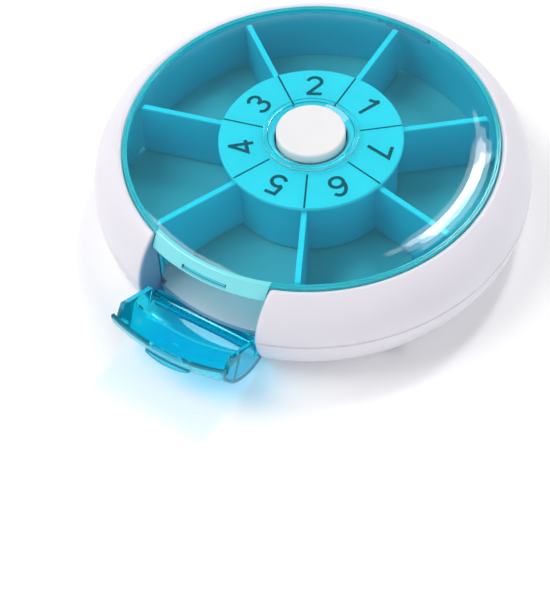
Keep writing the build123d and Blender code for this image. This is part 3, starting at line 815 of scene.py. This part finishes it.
def addCollarLines(s, cover):
    # Two thin turned rings; the lip falls evenly from the crown's radius to the hole's.
    material = solidPlastic("collarShadeLine", lineSettings)
    foot = domeHeight(cover, cover["collarRadius"])
    crown = foot + cover["crownRise"]
    fall = cover["lipDrop"] / (cover["crownRadius"] - cover["holeRadius"])
    rings = (
        ("collar_foot", cover["collarRadius"], foot, s["foot"]),
        ("collar_crown", cover["crownRadius"], crown + fall * s["crown"][0], s["crown"]),
    )
    for name, radius, height, (inside, outside, lift) in rings:
        inner, outer, high = radius + inside, radius + outside, height + lift
        low = high - s["thick"]
        corners = [(inner, low), (outer, low), (outer, high), (inner, high)]
        points, faces = turnedSolid(roundCorners(corners, s["rounds"], s["cornerSteps"]))
        newPiece(name, points, faces, material, "housing")


addCollarLines(lineShape, coverShape)
print("cover built")

# Button: a low cap with a slightly dished top and a small round edge
buttonShape = {
    "radius": 9.0,
    "top": 29.5,
    "bottom": 22.3,
    "wall": 1.5,
    "dish": 0.12,
    "dishRadius": 6.5,
    "dishRings": 14,
    "dishRound": 0.01,
    "edgeRound": 0.8,
    "skirtRounds": (0.3, 0.3, 0.6),
    "cornerSteps": 8,
}


def addButton(s):
    # Turned outline: a cosine dish from the middle out, the round edge, the skirt and back in under the top.
    radius, top, bottom = s["radius"], s["top"], s["bottom"]
    inner, ceiling = radius - s["wall"], top - s["wall"]
    dished = np.linspace(0.0, s["dishRadius"], s["dishRings"])
    sunk = top - s["dish"] * (1 + np.cos(np.pi * dished / s["dishRadius"])) / 2
    rest = [(radius, top), (radius, bottom), (inner, bottom), (inner, ceiling), (0.0, ceiling)]
    corners = np.vstack((np.column_stack((dished, sunk)), rest))
    radii = np.full(len(corners), s["dishRound"])
    rounds = (s["edgeRound"], *s["skirtRounds"])
    radii[len(dished):len(dished) + len(rounds)] = rounds
    points, faces = turnedSolid(roundCorners(corners, radii, s["cornerSteps"]))
    button = newPiece("button_top", points, faces, whiteButton, "button")
    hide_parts("button_cap")


addButton(buttonShape)
print("button built")

# Door: the CAD's door with its edges rounded
doorShape = {
    "edge": 0.28,
    "segments": 3,
    "roundOver": 35.0,
    "merge": 0.001,
    "flatUnder": 1.0,
}


def roundedCopy(node, name, s, material, body):
    # The node's triangles merged into plain faces, with a bevel on every edge sharper than roundOver.
    mesh = nodes[node].data.copy()
    mesh.name = name
    work = bmesh.new()
    work.from_mesh(mesh)
    bmesh.ops.remove_doubles(work, verts=work.verts, dist=s["merge"] * mm)
    flat = math.radians(s["flatUnder"])
    bmesh.ops.dissolve_limit(work, angle_limit=flat, verts=work.verts, edges=work.edges)
    work.to_mesh(mesh)
    work.free()
    mesh.shade_smooth()
    mesh.materials.clear()
    mesh.materials.append(material)
    piece = bpy.data.objects.new(name, mesh)
    bpy.context.scene.collection.objects.link(piece)
    bevel = piece.modifiers.new("roundedEdges", "BEVEL")
    bevel.width = s["edge"] * mm
    bevel.segments = s["segments"]
    bevel.limit_method = "ANGLE"
    bevel.angle_limit = math.radians(s["roundOver"])
    bevel.harden_normals = True
    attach(piece, body)
    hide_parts(node)


roundedCopy("door", "door_shell", doorShape, clearDoor, "door")
print("door built")


def addCoil():
    # A copy of the return spring's mesh, carried with the button.
    mesh = nodes["return_spring"].data.copy()
    mesh.name = "return_coil"
    coil = bpy.data.objects.new("return_coil", mesh)
    bpy.context.scene.collection.objects.link(coil)
    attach(coil, "button")
    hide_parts("return_spring")
    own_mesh(coil)


addCoil()
print("spring built")

# Printed numbers and dividing lines on the disc
printSettings = {
    "dark": (0.003, 0.04, 0.07),
    "paler": 1.35,
    "roughness": (0.45, 0.65),
    "mirror": 0.3,
    "grain": {"Scale": 2500.0, "Detail": 3.0},
    "grainDepth": 0.000004,
    "order": (5, 6, 7, 1, 2, 3, 4),
    "firstAngle": -90.0,
    "top": 26.446,
    "thick": 0.05,
    "layerLift": 0.1,  # how much thicker a digit's second stroke is than its first
    "digitMiddle": (0.285, 0.5),
    "digitSize": (8.2, 6.6),
    "stroke": 0.95,
    "middleRadius": 18.2,
    "digitLead": 3.2,
    "lineLead": 2.1,
    "lineWidth": 0.5,
    "lineFrom": 12.8,
    "lineTo": 23.8,
    "lineDepth": 0.13,
    "lineHeights": (-0.01, 0.06),
    "mitreLimit": 0.4,
}


def inkMaterial(name, s):
    # Printed ink: fine grain in colour, roughness and bump.
    material, tree, principled = startMaterial(name, {"Specular IOR Level": s["mirror"]})
    noise = noiseNode(tree, objectPlace(tree), s["grain"])
    light = tuple(c * s["paler"] for c in s["dark"])
    toneByNoise(tree, principled, noise, dict(s, light=light))
    addBump(tree, principled, noise.outputs[0], s["grainDepth"])
    return material


def arcPoints(centre, radii, start, end, count=18):
    # Points along an ellipse arc: centre plus radii times cosine and sine of an even run of angles.
    angle = np.radians(np.linspace(start, end, count))
    x = centre[0] + radii[0] * np.cos(angle)
    y = centre[1] + radii[1] * np.sin(angle)
    return np.column_stack((x, y))


def run(*points):
    # Straight strokes from point to point.
    return np.array(points, float)


def digitStrokes():
    # Centre lines of the numbers 1 to 7 in a box one unit high.
    flag = np.vstack((arcPoints((0.02, 1.06), (0.33, 0.32), -75, -20, 8), run((0.37, 1.0))))
    neck = np.vstack((arcPoints((0.285, 0.71), (0.22, 0.24), 170, -30), run((0.07, 0.055))))
    upperBow = arcPoints((0.27, 0.735), (0.195, 0.215), 160, -95)
    lowerBow = arcPoints((0.27, 0.285), (0.225, 0.235), 95, -160)
    belly = arcPoints((0.28, 0.31), (0.225, 0.26), 145, -155)
    ring = arcPoints((0.29, 0.30), (0.215, 0.25), 0, 360, 30)
    stem = arcPoints((0.335, 0.46), (0.26, 0.49), 45, 182, 18)
    return [
        [flag, run((0.37, 1.0), (0.37, 0.0))],
        [neck, run((0.045, 0.055), (0.53, 0.055))],
        [upperBow, lowerBow],
        [run((0.56, 0.29), (0.06, 0.29), (0.405, 0.95)), run((0.405, 1.0), (0.405, 0.0))],
        [run((0.50, 0.945), (0.15, 0.945), (0.095, 0.50)), belly],
        [ring, stem],
        [run((0.045, 0.945), (0.525, 0.945), (0.19, 0.0))],
    ]


def strokeSolid(line, width, bottom, top, mitreLimit):
    # A ribbon of the given width along a plane line: each point goes half the width along its mitred
    # normal to both sides, at the top and at the bottom.
    step = np.diff(line, axis=0)
    step /= np.linalg.norm(step, axis=1)[:, None]
    before = np.vstack((step[:1], step))
    after = np.vstack((step, step[-1:]))
    middle = before + after
    middle /= np.linalg.norm(middle, axis=1)[:, None]
    reach = 1 / np.maximum(np.sum(middle * after, axis=1), mitreLimit)
    normal = np.column_stack((-middle[:, 1], middle[:, 0])) * (reach * width / 2)[:, None]
    count = len(line)
    left, right = line + normal, line - normal
    edges = ((left, top), (left, bottom), (right, bottom), (right, top))
    rows = [np.column_stack((side, np.full(count, height))) for side, height in edges]
    points = np.stack(rows, axis=1).reshape(-1, 3)
    row = np.arange(count - 1)[:, None] * 4
    corner = np.arange(4)[None, :]
    nextCorner = (corner + 1) % 4
    sides = np.stack((row + corner, row + nextCorner, row + 4 + nextCorner, row + 4 + corner), axis=2)
    last = 4 * (count - 1)
    ends = np.array([[3, 2, 1, 0], [last, last + 1, last + 2, last + 3]])
    return points, np.vstack((sides.reshape(-1, 4), ends))


def joinMeshes(parts):
    # One list of points and one of faces, each part's faces counted on from the points before it.
    points, faces, start = [], [], 0
    for some, shape in parts:
        points.append(some)
        faces.append(shape + start)
        start += len(some)
    return np.vstack(points), np.vstack(faces)


def turnPoints(points, degrees):
    # Points turned about Z.
    angle = math.radians(degrees)
    c, s = math.cos(angle), math.sin(angle)
    return points @ np.array([[c, s, 0], [-s, c, 0], [0, 0, 1]])


def addNumbers(s):
    # Each digit's strokes are scaled, moved out to the middle radius and turned to its place on the disc.
    step = 360 / len(s["order"])
    strokes = digitStrokes()
    for place, digit in enumerate(s["order"]):
        angle = s["firstAngle"] + s["digitLead"] + place * step
        parts = []
        for layer, line in enumerate(strokes[digit - 1]):
            centred = (line - np.array(s["digitMiddle"])) * np.array(s["digitSize"])
            high = s["top"] + s["thick"] * (1 + s["layerLift"] * layer)
            points, faces = strokeSolid(centred, s["stroke"], s["top"], high, s["mitreLimit"])
            points[:, 1] += s["middleRadius"]
            parts.append((turnPoints(points, angle - 90), faces))
        points, faces = joinMeshes(parts)
        newPiece(f"number_{digit}", points, faces, numberInk, "wheel", smooth=False)


def addLines(s):
    # One straight ribbon in the disc's grooves, turned to each place between two digits.
    step = 360 / len(s["order"])
    along = run((s["lineFrom"], 0.0), (s["lineTo"], 0.0))
    low, high = (s["top"] - s["lineDepth"] + height for height in s["lineHeights"])
    parts = []
    for place in range(len(s["order"])):
        points, faces = strokeSolid(along, s["lineWidth"], low, high, s["mitreLimit"])
        angle = s["firstAngle"] + s["lineLead"] + (place + 0.5) * step
        parts.append((turnPoints(points, angle), faces))
    points, faces = joinMeshes(parts)
    newPiece("dividing_lines", points, faces, numberInk, "wheel", smooth=False)


numberInk = inkMaterial("numberInk", printSettings)
addNumbers(printSettings)
addLines(printSettings)
print("numbers and lines printed")

# Floor: pale paper, a little brighter where it is seen than where it only passes light on
floorStage = {
    "light": (0.93, 0.93, 0.94),
    "shade": 0.985,
    "roughness": (0.55, 0.7),
    "mirror": 0.2,
    "grain": {"Scale": 40.0, "Detail": 4.0},
    "size": 6.0,
    "glow": 0.1,
}


def addFloor(s):
    # A large plane just under the object.
    half = s["size"] / 2
    corners = [(-half, -half, 0), (half, -half, 0), (half, half, 0), (-half, half, 0)]
    mesh = bpy.data.meshes.new("floor")
    mesh.from_pydata(corners, [], [(0, 1, 2, 3)])
    floor = bpy.data.objects.new("floor", mesh)
    bpy.context.scene.collection.objects.link(floor)
    material, tree, principled = startMaterial("paperFloor", {"Specular IOR Level": s["mirror"]})
    noise = noiseNode(tree, objectPlace(tree), s["grain"])
    dark = tuple(c * s["shade"] for c in s["light"])
    toneByNoise(tree, principled, noise, dict(s, dark=dark))
    glow = addNode(tree, "ShaderNodeEmission")
    seen = addNode(tree, "ShaderNodeLightPath").outputs
    straight = mathNode(tree, "MAXIMUM", seen["Is Camera Ray"], seen["Is Glossy Ray"])
    anySeen = mathNode(tree, "MAXIMUM", straight, seen["Is Transmission Ray"])
    tree.links.new(mathNode(tree, "MULTIPLY", anySeen, s["glow"]), glow.inputs["Strength"])
    both = addNode(tree, "ShaderNodeAddShader")
    tree.links.new(principled.outputs[0], both.inputs[0])
    tree.links.new(glow.outputs[0], both.inputs[1])
    tree.links.new(both.outputs[0], tree.nodes["Material Output"].inputs["Surface"])
    mesh.materials.append(material)


# Lamps, each facing the object: three strips in one another make the cover's soft-edged glare
lamps = {
    "keyLamp": {
        "place": (-0.60, -0.28, 0.95), "size": (0.8, 0.8), "power": 7.8, "colour": (1.0, 0.99, 0.98),
    },
    "stripLamp": {
        "place": (-0.024, 0.676, 0.93), "size": (0.09, 0.34), "power": 1.3, "colour": (1.0, 1.0, 1.0),
    },
    "stripEdge": {
        "place": (-0.024, 0.678, 0.932), "size": (0.15, 0.42), "power": 1.5, "colour": (1.0, 1.0, 1.0),
    },
    "stripGlow": {
        "place": (-0.024, 0.680, 0.934), "size": (0.26, 0.52), "power": 1.4, "colour": (1.0, 1.0, 1.0),
    },
    "sideLamp": {
        "place": (0.85, 0.35, 0.80), "size": (0.9, 0.9), "power": 1.6, "colour": (1.0, 0.99, 0.99),
    },
    "frontLamp": {
        "place": (0.75, -0.75, 0.55), "size": (1.0, 1.0), "power": 2.4, "colour": (0.98, 0.97, 1.0),
    },
}


def addLamp(name, s):
    # A round lamp, or a rectangle where it is longer than it is wide.
    data = bpy.data.lights.new(name, "AREA")
    data.size, data.size_y = s["size"]
    data.shape = "DISK" if data.size == data.size_y else "RECTANGLE"
    data.energy = s["power"]
    data.color = s["colour"]
    light = bpy.data.objects.new(name, data)
    place = Vector(s["place"])
    facing = place.to_track_quat("Z", "Y").to_matrix().to_4x4()
    light.matrix_world = Matrix.Translation(place) @ facing
    bpy.context.scene.collection.objects.link(light)


# Sky: white round the horizon, falling to a dim ceiling
skySettings = {
    "horizon": (1.0, 1.0, 1.0),
    "zenith": (0.15, 0.155, 0.165),
    "horizonTop": 0.25,
    "zenithFrom": 0.55,
}


def setWorld(s):
    # The colour is a smooth step over the height of the direction.
    world = bpy.data.worlds.new("studio")
    bpy.context.scene.world = world
    world.use_nodes = True
    tree = world.node_tree
    direction = addNode(tree, "ShaderNodeTexCoord").outputs["Generated"]
    height = splitPlace(tree, direction)["Z"]
    rise = rangeNode(tree, height, s["horizonTop"], s["zenithFrom"], 0.0, 1.0, smooth=True)
    colour = mixColour(tree, rise, s["horizon"], s["zenith"])
    tree.links.new(colour, tree.nodes["Background"].inputs["Color"])


addFloor(floorStage)
for name, settings in lamps.items():
    addLamp(name, settings)
setWorld(skySettings)
bpy.context.scene.view_settings.view_transform = "Standard"
print("floor and light set")
